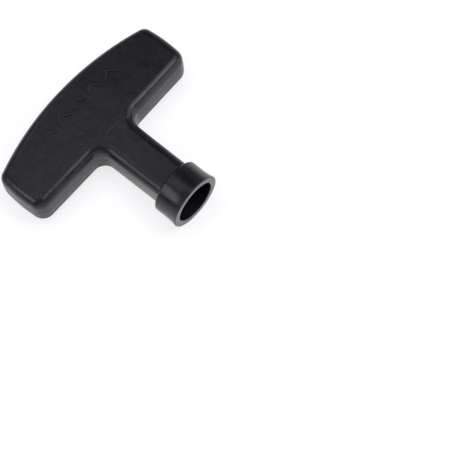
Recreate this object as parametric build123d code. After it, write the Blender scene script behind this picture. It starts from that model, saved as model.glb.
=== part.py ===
from build123d import *
from math import hypot
import os

# A recoil starter handle: one moulding, with a cross grip, a stem and a collar.
# Origin: centre of the collar's mouth, on the axis of the rope.
# +X runs along the grip, +Y from the mouth to the crown, and +Z out of the front face.

# Cross grip, seen from the front (millimetres)
grip_length = 96.0
handle_height = 78.4
crown_radius = 139.0
end_radius = 76.0
end_bulge_drop = 20.3
crown_corner_radius = 4.7
lower_corner_radius = 5.9

# Depth of the arms below the top of the crown, beside the stem and at the tips
arm_depth_at_stem = 33.3
arm_depth_at_tips = 33.0

# Stem, from the collar up to the arms
stem_width_at_root = 19.1
stem_width_at_collar = 18.7
stem_fillet_radius = 5.4

# Depth of the moulding, split at a parting plane halfway between its faces
thickness = 17.6
draft_angle = 1.8
face_edge_radius = 4.2

# Collar round the mouth
collar_diameter = 25.4
collar_height = 12.4
collar_shoulder_chamfer = 0.6
mouth_diameter = 26.5
flare_length = 6.0
lip_radius = 0.5

# Socket that seats over the starter's rope guide
socket_diameter = 20.0
socket_depth = 11.0
socket_chamfer = 0.3

# Rope hole up the stem, with a funnel at its foot
rope_hole_diameter = 6.5
funnel_diameter = 10.0
funnel_depth = 1.8

# Pocket for the rope's knot, open at the crown
pocket_diameter = 12.5
pocket_depth = 24.0
pocket_floor_chamfer = 1.2
pocket_edge_chamfer = 0.6

# How far the stem reaches down into the collar, and how far cuts run past a face
stem_seat = 1.0
cut_overrun = 5.0

# Heights above the collar's mouth that follow from the sizes above
end_bulge_height = handle_height - end_bulge_drop
arm_height_at_stem = handle_height - arm_depth_at_stem
arm_height_at_tips = handle_height - arm_depth_at_tips
pocket_floor_height = handle_height - pocket_depth
stem_foot_height = collar_height - stem_seat


def underside_edge():
    """Corners of the area above the arms' undersides, up past the crown."""
    reach = grip_length
    root_x = stem_width_at_root / 2
    tip_x = grip_length / 2
    slope = (arm_height_at_tips - arm_height_at_stem) / (tip_x - root_x)
    reach_height = arm_height_at_stem + slope * (reach - root_x)
    middle_height = arm_height_at_stem - slope * root_x
    top = handle_height + cut_overrun
    return [(-reach, reach_height), (0, middle_height), (reach, reach_height), (reach, top), (-reach, top)]


def grip_area():
    """The cross grip: a crown arc, two bulged ends and the sloping undersides."""
    crown = Pos(0, handle_height - crown_radius) * Circle(crown_radius)
    end_centre = grip_length / 2 - end_radius
    right_end = Pos(end_centre, end_bulge_height) * Circle(end_radius)
    left_end = Pos(-end_centre, end_bulge_height) * Circle(end_radius)
    return crown & right_end & left_end & Polygon(*underside_edge(), align=None)


def stem_area():
    """The stem, which widens a little from the collar to the arms."""
    root = stem_width_at_root / 2
    foot = stem_width_at_collar / 2
    top_height = arm_height_at_stem + stem_seat
    corners = [(-foot, stem_foot_height), (foot, stem_foot_height), (root, top_height), (-root, top_height)]
    return Polygon(*corners, align=None)


def front_outline():
    """Outline of the moulding at its parting plane, with all its corners rounded."""
    outline = grip_area() + stem_area()
    quarter = grip_length / 4
    crown_corners = [v for v in outline.vertices() if abs(v.X) > quarter and v.Y > end_bulge_height]
    outline = fillet(crown_corners, crown_corner_radius)
    end_middle = (end_bulge_height + arm_height_at_tips) / 2
    lower_corners = [v for v in outline.vertices() if abs(v.X) > quarter and v.Y < end_middle]
    outline = fillet(lower_corners, lower_corner_radius)
    inner_corners = [v for v in outline.vertices() if abs(v.X) < quarter and v.Y > collar_height]
    return fillet(inner_corners, stem_fillet_radius)


def moulded_body():
    """Both halves of the grip and stem, drafted from the parting plane and rounded."""
    half = extrude(front_outline(), amount=thickness / 2, taper=draft_angle)
    body = half + mirror(half, about=Plane.XY)
    face_edges = [e for e in body.edges() if on_a_face(e) and e.center().Y > collar_height]
    return fillet(face_edges, face_edge_radius)


def on_a_face(edge):
    """True for an edge that lies in the front or the back face."""
    return abs(abs(edge.center().Z) - thickness / 2) < 0.001


def collar():
    """A turned collar with an eased shoulder and a slight flare towards its mouth."""
    outer = collar_diameter / 2
    mouth = mouth_diameter / 2
    shoulder = outer - collar_shoulder_chamfer
    with BuildSketch() as section:
        with BuildLine():
            Line((0, 0), (mouth - lip_radius, 0))
            RadiusArc((mouth - lip_radius, 0), (mouth, lip_radius), -lip_radius)
            TangentArc((outer, flare_length), (mouth, lip_radius), tangent=(0, -1))
            Line((outer, flare_length), (outer, collar_height - collar_shoulder_chamfer))
            Line((outer, collar_height - collar_shoulder_chamfer), (shoulder, collar_height))
            Polyline((shoulder, collar_height), (0, collar_height), (0, 0))
        make_face()
    return revolve(section.sketch, axis=Axis.Y)


def rope_passage():
    """Everything that is open along the rope's axis, as one turned core."""
    socket = socket_diameter / 2
    funnel = funnel_diameter / 2
    hole = rope_hole_diameter / 2
    pocket = pocket_diameter / 2
    floor = pocket_floor_height
    core = [
        (0, -cut_overrun),
        (socket + socket_chamfer, -cut_overrun),
        (socket + socket_chamfer, 0),
        (socket, socket_chamfer),
        (socket, socket_depth),
        (funnel, socket_depth),
        (hole, socket_depth + funnel_depth),
        (hole, floor),
        (pocket - pocket_floor_chamfer, floor),
        (pocket, floor + pocket_floor_chamfer),
        (pocket, handle_height + cut_overrun),
        (0, handle_height + cut_overrun),
    ]
    return revolve(Polygon(*core, align=None), axis=Axis.Y)


def pocket_mouth_edges(solid):
    """Edges of the knot pocket where it breaks out through the crown."""
    found = []
    for edge in solid.edges():
        start = edge.position_at(0)
        end = edge.position_at(1)
        radii = (hypot(start.X, start.Z), hypot(end.X, end.Z))
        near_crown = min(start.Y, end.Y) > handle_height - pocket_depth / 2
        if near_crown and max(abs(radius - pocket_diameter / 2) for radius in radii) < 0.001:
            found.append(edge)
    return found


def starter_handle():
    """The whole moulding, with its rope passage opened and the pocket's mouth eased."""
    handle = moulded_body() + collar() - rope_passage()
    return chamfer(pocket_mouth_edges(handle), pocket_edge_chamfer)


os.makedirs("parts", exist_ok=True)
export_step(starter_handle(), "parts/starter_handle.step")
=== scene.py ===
import bmesh
import bpy
from math import atan2, cos, degrees, pi, radians, sin, sqrt
from mathutils import Matrix, Vector


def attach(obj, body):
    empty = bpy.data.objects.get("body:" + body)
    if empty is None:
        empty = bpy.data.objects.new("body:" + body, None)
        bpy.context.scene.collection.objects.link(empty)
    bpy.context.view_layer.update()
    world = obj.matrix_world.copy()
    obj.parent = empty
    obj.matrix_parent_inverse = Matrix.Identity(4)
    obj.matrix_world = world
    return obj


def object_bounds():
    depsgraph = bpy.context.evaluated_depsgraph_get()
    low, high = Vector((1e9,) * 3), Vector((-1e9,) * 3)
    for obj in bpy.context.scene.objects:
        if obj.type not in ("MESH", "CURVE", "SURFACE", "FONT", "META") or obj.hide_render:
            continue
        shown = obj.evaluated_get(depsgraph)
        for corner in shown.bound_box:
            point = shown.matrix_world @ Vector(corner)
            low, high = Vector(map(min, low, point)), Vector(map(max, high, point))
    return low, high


# A moulded rubber starter handle, lying on its back on a white sheet under softboxes and panels.
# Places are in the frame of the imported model: +X along the grip, +Y to the crown, +Z up.
# The settings give lengths in metres and angles in degrees.

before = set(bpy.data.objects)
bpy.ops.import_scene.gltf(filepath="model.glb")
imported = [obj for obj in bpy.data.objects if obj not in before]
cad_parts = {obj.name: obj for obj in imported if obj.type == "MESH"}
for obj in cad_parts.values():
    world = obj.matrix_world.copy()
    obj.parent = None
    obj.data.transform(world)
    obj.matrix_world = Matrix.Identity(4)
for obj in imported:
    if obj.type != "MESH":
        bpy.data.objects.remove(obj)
cadLow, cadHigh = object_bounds()
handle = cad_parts["starter_handle"]
midHeight = cadHigh.y / 2     # the grip lies beyond it, and the collar before it
mm = 0.001
print("frame loaded:", sorted(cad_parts))


# small helpers

def selectOnly(thing=None):
    bpy.ops.object.select_all(action="DESELECT")
    if thing is not None:
        thing.select_set(True)
        bpy.context.view_layer.objects.active = thing


def hexColour(code):
    # an sRGB hex code, made linear by the standard curve
    parts = [int(code[i:i + 2], 16) / 255 for i in (1, 3, 5)]
    linear = [p / 12.92 if p <= 0.04045 else ((p + 0.055) / 1.055) ** 2.4 for p in parts]
    return (*linear, 1.0)


def addNode(tree, kind, links=None, **settings):
    # settings are the node's own properties or its input sockets, and links feed its inputs
    node = tree.nodes.new(kind)
    for name, value in settings.items():
        if hasattr(node, name):
            setattr(node, name, value)
        else:
            node.inputs[name.replace("_", " ")].default_value = value
    for socket, source in (links or {}).items():
        tree.links.new(source, node.inputs[socket])
    return node


def newMaterial(name):
    material = bpy.data.materials.new(name)
    material.use_nodes = True
    material.node_tree.nodes.clear()
    return material, material.node_tree


# camera: looks down on the front face, from the collar's side and a little to the left

cameraSpec = {
    "elevation": 68.71,             # above the handle's parting plane
    "azimuth": -132.35,             # where it stands round the handle, from +X
    "roll": -7.60,
    "distance": 772 * mm,
    "aimPoint": (0, 45 * mm, 0),
    "aimPixel": (116.9, 140.42),    # where the aim point falls in the picture
    "pictureSize": 470,
    "pixelsPerMetre": 2311,         # at the aim point
    "sensorWidth": 36,              # in millimetres, as Blender has it
    "clip": (0.05, 20),
}


def cameraAxes(spec):
    elevation, azimuth, roll = (radians(spec[k]) for k in ("elevation", "azimuth", "roll"))
    back = Vector((cos(elevation) * cos(azimuth), cos(elevation) * sin(azimuth), sin(elevation)))
    level = Vector((-sin(azimuth), cos(azimuth), 0))
    upright = back.cross(level)
    right = level * cos(roll) + upright * sin(roll)
    return right, back.cross(right), back


def placeCamera(spec):
    right, up, back = cameraAxes(spec)
    middle = (spec["pictureSize"] - 1) / 2
    aside = (spec["aimPixel"][0] - middle) / spec["pixelsPerMetre"]
    above = (middle - spec["aimPixel"][1]) / spec["pixelsPerMetre"]
    spot = Vector(spec["aimPoint"]) + back * spec["distance"] - right * aside - up * above
    bpy.ops.object.camera_add(location=spot)
    camera = bpy.context.object
    camera.name = "pictureCamera"
    camera.rotation_euler = Matrix((right, up, back)).transposed().to_euler()
    camera.data.sensor_width = spec["sensorWidth"]
    focalPixels = spec["pixelsPerMetre"] * spec["distance"]
    camera.data.lens = spec["sensorWidth"] * focalPixels / spec["pictureSize"]
    camera.data.clip_start, camera.data.clip_end = spec["clip"]
    bpy.context.scene.camera = camera


selectOnly()
placeCamera(cameraSpec)
print("camera placed")


# table: a plain white sheet in the plane that the handle really rests on

tableSpec = {
    "size": 4.0,
    "colour": "#949494",
    # extra brightness that only the picture and the handle's reflections show. The sheet is
    # pure white away from the handle. In reflections it carries painted light: a glow that is
    # brightest in front of the mouth, which the collar's rim shows as a painted reflection
    "glow": {"near": 0.73, "far": 1.0, "nearEnds": 0.25, "farStarts": 0.90},
    "glowInReflections": {
        "around": 0.54,
        "atMouth": 1.0,
        "aroundEnds": 38 * mm,      # measured along Y, as is the next
        "atMouthStarts": -6 * mm,
    },
    "steepest": 0.5,                # limit of its slope, as rise over run
    "slopeError": 1e-6,
}


def restPlane(spec):
    # the handle stands on two lines across its back, one on either side of its middle
    points = [v.co for v in handle.data.vertices]
    collarPoints = [p for p in points if p.y < midHeight]
    gripPoints = [p for p in points if p.y >= midHeight]
    flat, steep = 0.0, spec["steepest"]
    while steep - flat > spec["slopeError"]:
        slope = (flat + steep) / 2
        collarFoot = min(p.z - slope * p.y for p in collarPoints)
        gripFoot = min(p.z - slope * p.y for p in gripPoints)
        if collarFoot < gripFoot:
            flat = slope
        else:
            steep = slope
    return collarFoot, atan2(slope, 1)


def tableMaterial(spec):
    # matt white paper: an even white that takes a soft shadow
    material, tree = newMaterial("matt_white_paper")
    glow, mirrored = spec["glow"], spec["glowInReflections"]
    paper = addNode(tree, "ShaderNodeBsdfDiffuse", Color=hexColour(spec["colour"]))
    seen = addNode(tree, "ShaderNodeLightPath")
    place = addNode(tree, "ShaderNodeTexCoord").outputs["Object"]
    distance = addNode(tree, "ShaderNodeVectorMath", {0: place}, operation="LENGTH")
    toCamera = addNode(tree, "ShaderNodeMapRange", {"Value": distance.outputs["Value"]},
                       From_Min=glow["nearEnds"], From_Max=glow["farStarts"],
                       To_Min=glow["near"], To_Max=glow["far"])
    along = addNode(tree, "ShaderNodeSeparateXYZ", {0: place})
    # painted light: glossy rays see the sheet glow brightest in front of the mouth
    mirror = addNode(tree, "ShaderNodeMapRange", {"Value": along.outputs["Y"]},
                     From_Min=mirrored["atMouthStarts"], From_Max=mirrored["aroundEnds"],
                     To_Min=mirrored["atMouth"], To_Max=mirrored["around"])
    toGloss = addNode(tree, "ShaderNodeMath",
                      {0: seen.outputs["Is Glossy Ray"], 1: mirror.outputs[0]},
                      operation="MULTIPLY")
    strength = addNode(tree, "ShaderNodeMath",
                       {0: seen.outputs["Is Camera Ray"], 1: toCamera.outputs[0],
                        2: toGloss.outputs[0]},
                       operation="MULTIPLY_ADD")
    shine = addNode(tree, "ShaderNodeEmission", {"Strength": strength.outputs[0]})
    both = addNode(tree, "ShaderNodeAddShader", {0: paper.outputs[0], 1: shine.outputs[0]})
    addNode(tree, "ShaderNodeOutputMaterial", {"Surface": both.outputs[0]})
    return material


def makeTable(spec):
    foot, tilt = restPlane(spec)
    selectOnly()
    bpy.ops.mesh.primitive_plane_add(size=spec["size"])
    table = bpy.context.object
    table.name = "paper_table"
    turn = Matrix.Rotation(tilt, 4, "X")
    table.data.transform(Matrix.Translation((0, 0, foot)) @ turn)
    table.data.materials.append(tableMaterial(spec))
    print("table tilted by", round(degrees(tilt), 2), "degrees")


makeTable(tableSpec)


# light: softboxes and panels, and a dim room. Each lamp faces the camera's aim point.
# Brightness 1 is that of white paper in full light

lampColour = "#f4f4ff"     # daylight tubes, a touch cool

lampSpecs = {
    "rightSoftbox": {"azimuth": -55, "elevation": 55, "distance": 0.69, "size": (0.15, 0.42),
                     "brightness": 3.15},
    "rightHalo": {"azimuth": -24, "elevation": 58, "distance": 0.70, "size": (0.36, 0.68),
                  "brightness": 1.08},
    "rightCard": {"azimuth": -55, "elevation": 14, "distance": 0.75, "size": (0.68, 0.36),
                  "brightness": 1.29},
    "leftSoftbox": {"azimuth": 159, "elevation": 38, "distance": 0.61, "size": (0.19, 0.38),
                    "brightness": 2.05},
    "overheadStrip": {"azimuth": 96, "elevation": 72, "distance": 0.60, "size": (0.37, 0.06),
                      "brightness": 1.56},
    "farPanel": {"azimuth": 78, "elevation": 46, "distance": 0.80, "size": (0.13, 0.29),
                 "brightness": 1.04},
    "nearCard": {"azimuth": -119, "elevation": 20, "distance": 0.90, "size": (0.98, 0.56),
                 "brightness": 0.59},
    "ceilingFill": {"azimuth": 0, "elevation": 90, "distance": 1.50, "size": (1.60, 1.60),
                    "brightness": 2.0, "inReflections": False},
}
roomSpec = {
    "strength": 0.23,
    "dimSide": {                    # one side of the room is nearly dark
        "azimuth": 30,
        "elevation": 52,
        "strength": 0.02,
        "full": 10,                 # dark out to this angle, and fading to the next
        "fade": 28,
    },
}


def towards(azimuth, elevation):
    azimuth, elevation = radians(azimuth), radians(elevation)
    return Vector((cos(elevation) * cos(azimuth), cos(elevation) * sin(azimuth), sin(elevation)))


def placeLamp(name, spec):
    away = towards(spec["azimuth"], spec["elevation"])
    spot = Vector(cameraSpec["aimPoint"]) + away * spec["distance"]
    bpy.ops.object.light_add(type="AREA", location=spot)
    lamp = bpy.context.object
    lamp.name = name
    lamp.rotation_euler = away.to_track_quat("Z", "Y").to_euler()
    lamp.data.shape = "RECTANGLE"
    lamp.data.size, lamp.data.size_y = spec["size"]
    lamp.data.color = hexColour(lampColour)[:3]
    lamp.data.energy = spec["brightness"] * pi * spec["size"][0] * spec["size"][1]
    lamp.visible_glossy = spec.get("inReflections", True)
    lamp.visible_camera = False


def makeRoom(spec):
    world = bpy.data.worlds.new("studio_room")
    bpy.context.scene.world = world
    world.use_nodes = True
    tree = world.node_tree
    tree.nodes.clear()
    seen = addNode(tree, "ShaderNodeLightPath")
    dim = spec["dimSide"]
    around = addNode(tree, "ShaderNodeTexCoord").outputs["Generated"]
    nearness = addNode(tree, "ShaderNodeVectorMath", {0: around}, operation="DOT_PRODUCT")
    nearness.inputs[1].default_value = towards(dim["azimuth"], dim["elevation"])
    strength = addNode(tree, "ShaderNodeMapRange", {"Value": nearness.outputs["Value"]},
                       interpolation_type="SMOOTHSTEP",
                       From_Min=cos(radians(dim["fade"])), From_Max=cos(radians(dim["full"])),
                       To_Min=spec["strength"], To_Max=dim["strength"])
    room = addNode(tree, "ShaderNodeBackground", {"Strength": strength.outputs[0]},
                   Color=hexColour(lampColour))
    white = addNode(tree, "ShaderNodeBackground", Color=(1, 1, 1, 1))
    pick = addNode(tree, "ShaderNodeMixShader",
                   {0: seen.outputs["Is Camera Ray"], 1: room.outputs[0], 2: white.outputs[0]})
    addNode(tree, "ShaderNodeOutputWorld", {"Surface": pick.outputs[0]})


for lampName, lampSpec in lampSpecs.items():
    placeLamp(lampName, lampSpec)
makeRoom(roomSpec)
bpy.context.scene.view_settings.view_transform = "Standard"
print("lights placed")


# material of the moulding

rubberSpec = {
    "base": "#131217",
    "ior": 1.52,
    "roughness": (0.22, 0.33),      # polished by use, and dull where it isn't
    "patch": 11 * mm,               # size of those patches
    "patchDetail": 5.0,
    "patchMix": 0.68,               # how much of the finer detail shows
    "patchRange": (0.35, 0.65),     # where the noise counts as polished, and as dull
    "wave": 8 * mm,                 # unevenness left by the moulding
    "waveDetail": 3.0,
    "waveDepth": 0.16 * mm,
    "grain": 0.8 * mm,              # coarser than the real 0.2 mm or so, which wouldn't show
    "grainDetail": 3.0,
    "grainDepth": 0.014 * mm,
}


def mouldedRubber(spec):
    # hard rubber, compression moulded: satin black, so its edges carry soft highlights.
    # The waves make those highlights wander a little, and the grain breaks them up finely
    material, tree = newMaterial("moulded_hard_rubber_satin")
    place = addNode(tree, "ShaderNodeTexCoord").outputs["Object"]
    patches = addNode(tree, "ShaderNodeTexNoise", {"Vector": place}, Scale=1 / spec["patch"],
                      Detail=spec["patchDetail"], Roughness=spec["patchMix"])
    polished, dull = spec["roughness"]
    polishedEnds, dullStarts = spec["patchRange"]
    roughness = addNode(tree, "ShaderNodeMapRange", {"Value": patches.outputs["Fac"]},
                        From_Min=polishedEnds, From_Max=dullStarts, To_Min=polished, To_Max=dull)
    waves = addNode(tree, "ShaderNodeTexNoise", {"Vector": place}, Scale=1 / spec["wave"],
                    Detail=spec["waveDetail"])
    uneven = addNode(tree, "ShaderNodeBump", {"Height": waves.outputs["Fac"]},
                     Distance=spec["waveDepth"])
    grain = addNode(tree, "ShaderNodeTexNoise", {"Vector": place}, Scale=1 / spec["grain"],
                    Detail=spec["grainDetail"])
    fine = addNode(tree, "ShaderNodeBump",
                   {"Height": grain.outputs["Fac"], "Normal": uneven.outputs[0]},
                   Distance=spec["grainDepth"])
    shader = addNode(tree, "ShaderNodeBsdfPrincipled",
                     {"Normal": fine.outputs[0], "Roughness": roughness.outputs[0]},
                     Base_Color=hexColour(spec["base"]), IOR=spec["ior"])
    addNode(tree, "ShaderNodeOutputMaterial", {"Surface": shader.outputs[0]})
    return material


rubber = mouldedRubber(rubberSpec)
handle.data.materials.clear()
handle.data.materials.append(rubber)
print("rubber on the handle")


# fine relief on the front face, and how its pieces are made and finished

faceHeight = max(v.co.z for v in handle.data.vertices if v.co.y > midHeight)
smoothAngle = 35     # edges that turn by more than this stay sharp
facingUp = 0.5       # a face whose normal rises by more than this looks up


def editVerts(thing, wanted):
    # in edit mode, selects just the vertices that the test wants
    bpy.ops.mesh.select_mode(type="VERT")
    bpy.ops.mesh.select_all(action="DESELECT")
    mesh = bmesh.from_edit_mesh(thing.data)
    for vert in mesh.verts:
        vert.select_set(wanted(vert.co))
    mesh.select_flush(True)
    bmesh.update_edit_mesh(thing.data)


def editEdges(thing, wanted):
    # in edit mode, selects just the edges that the test wants
    bpy.ops.mesh.select_mode(type="EDGE")
    bpy.ops.mesh.select_all(action="DESELECT")
    mesh = bmesh.from_edit_mesh(thing.data)
    for edge in mesh.edges:
        edge.select_set(wanted(edge))
    bmesh.update_edit_mesh(thing.data)


def smoothPiece(piece):
    # rounded edges shade smoothly and the flat faces between them stay flat
    bpy.ops.object.shade_smooth_by_angle(angle=radians(smoothAngle))
    weights = piece.modifiers.new("flatFaces", "WEIGHTED_NORMAL")
    weights.keep_sharp = True
    bpy.ops.object.modifier_apply(modifier=weights.name)


def finishPiece(piece, name, material):
    smoothPiece(piece)
    piece.name = name
    piece.data.materials.clear()
    piece.data.materials.append(material)
    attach(piece, "root")


# five raised chevrons under the crown, which point the way of the pull

chevronSpec = {
    "count": 5,
    "pitch": 9.7 * mm,              # from one to the next, along their arc
    "arcCentre": (0, -60.6 * mm),   # the crown's own centre
    "arcRadius": 128.5 * mm,
    "width": 7.0 * mm,
    "rise": 3.2 * mm,               # from the feet to the point
    "stroke": 2.2 * mm,             # measured the way of the pull
    "height": 0.60 * mm,            # above the face
    "sunk": 0.06 * mm,              # below it, so that no gap shows
    "easedEdge": 0.36 * mm,
    "easedSteps": 4,
}


def makeChevron(spec):
    # a bar, bent upwards at its middle, with eased upper edges
    tall = spec["height"] + spec["sunk"]
    selectOnly()
    bpy.ops.mesh.primitive_cube_add(size=1)
    mark = bpy.context.object
    mark.scale = (spec["width"], spec["stroke"], tall)
    bpy.ops.object.transform_apply(location=False, rotation=False, scale=True)
    bpy.ops.object.mode_set(mode="EDIT")
    editEdges(mark, lambda e: abs(e.verts[0].co.x - e.verts[1].co.x) > spec["width"] / 2)
    bpy.ops.mesh.subdivide(number_cuts=1)
    editVerts(mark, lambda co: abs(co.x) < spec["width"] / 4)
    bpy.ops.transform.translate(value=(0, spec["rise"], 0))
    editEdges(mark, lambda e: sum(f.normal.z > facingUp for f in e.link_faces) == 1)
    bpy.ops.mesh.bevel(offset=spec["easedEdge"], segments=spec["easedSteps"])
    bpy.ops.mesh.select_all(action="SELECT")
    lift = faceHeight - spec["sunk"] + tall / 2
    bpy.ops.transform.translate(value=(0, -spec["rise"] / 2, lift))
    bpy.ops.object.mode_set(mode="OBJECT")
    return mark


def makePullMarks(spec, material):
    marks = [makeChevron(spec)]
    while len(marks) < spec["count"]:
        selectOnly(marks[0])
        bpy.ops.object.duplicate()
        marks.append(bpy.context.object)
    middle = Matrix.Translation((*spec["arcCentre"], 0))
    outward = Matrix.Translation((0, spec["arcRadius"], 0))
    for i, mark in enumerate(marks):
        turn = (i - (spec["count"] - 1) / 2) * spec["pitch"] / spec["arcRadius"]
        mark.data.transform(middle @ Matrix.Rotation(-turn, 4, "Z") @ outward)
    selectOnly(marks[0])
    for mark in marks:
        mark.select_set(True)
    bpy.ops.object.join()
    finishPiece(marks[0], "pull_marks", material)


makePullMarks(chevronSpec, rubber)
print("pull marks made")


# a hair-thin raised witness of the mould's insert, round the root of the stem

witnessSpec = {
    "centre": (0, 27.3 * mm),
    "radius": 20.5 * mm,
    "start": 61,                    # round the centre, from +X
    "end": 98,
    "width": 0.50 * mm,
    "height": 0.06 * mm,
    "lean": 0.15 * mm,              # it leans outwards, so its inner slope is long and gentle
    "sunk": 0.05 * mm,
    "steps": 40,
}


def wrapDown(piece, name, wanted, offset):
    # lays the wanted vertices on the handle's front, a little above or below its surface
    group = piece.vertex_groups.new(name=name)
    group.add([v.index for v in piece.data.vertices if wanted(v.co)], 1, "REPLACE")
    wrap = piece.modifiers.new(name, "SHRINKWRAP")
    wrap.target = handle
    wrap.wrap_method = "PROJECT"
    wrap.use_project_z = True
    wrap.use_negative_direction = True
    wrap.use_positive_direction = False
    wrap.vertex_group = name
    wrap.offset = offset


def makeWitness(spec, material):
    # a three-sided bead: a triangle on its side, leaned outwards and spun round the centre
    start, end = radians(spec["start"]), radians(spec["end"])
    high = faceHeight + spec["width"]     # it is made above the face and wrapped down on it
    x, y = spec["centre"]
    spot = (x + spec["radius"] * cos(start), y + spec["radius"] * sin(start), high)
    selectOnly()
    bpy.ops.mesh.primitive_circle_add(vertices=3, radius=spec["width"] / sqrt(3),
                                      fill_type="NGON", location=spot, rotation=(pi / 2, 0, start))
    bead = bpy.context.object
    bpy.ops.object.transform_apply(location=True, rotation=True, scale=True)
    bpy.ops.object.mode_set(mode="EDIT")
    editVerts(bead, lambda co: co.z > high)
    bpy.ops.transform.translate(value=(spec["lean"] * cos(start), spec["lean"] * sin(start), 0))
    bpy.ops.mesh.select_all(action="SELECT")
    bpy.ops.mesh.spin(steps=spec["steps"], angle=start - end, center=(x, y, 0), axis=(0, 0, 1))
    bpy.ops.mesh.select_all(action="SELECT")
    bpy.ops.mesh.normals_make_consistent(inside=False)
    bpy.ops.object.mode_set(mode="OBJECT")
    wrapDown(bead, "ridge", lambda co: co.z > high, spec["height"])
    wrapDown(bead, "feet", lambda co: co.z < high, -spec["sunk"])
    for modifier in list(bead.modifiers):
        bpy.ops.object.modifier_apply(modifier=modifier.name)
    finishPiece(bead, "mould_witness", material)


makeWitness(witnessSpec, rubber)
print("mould witness made")
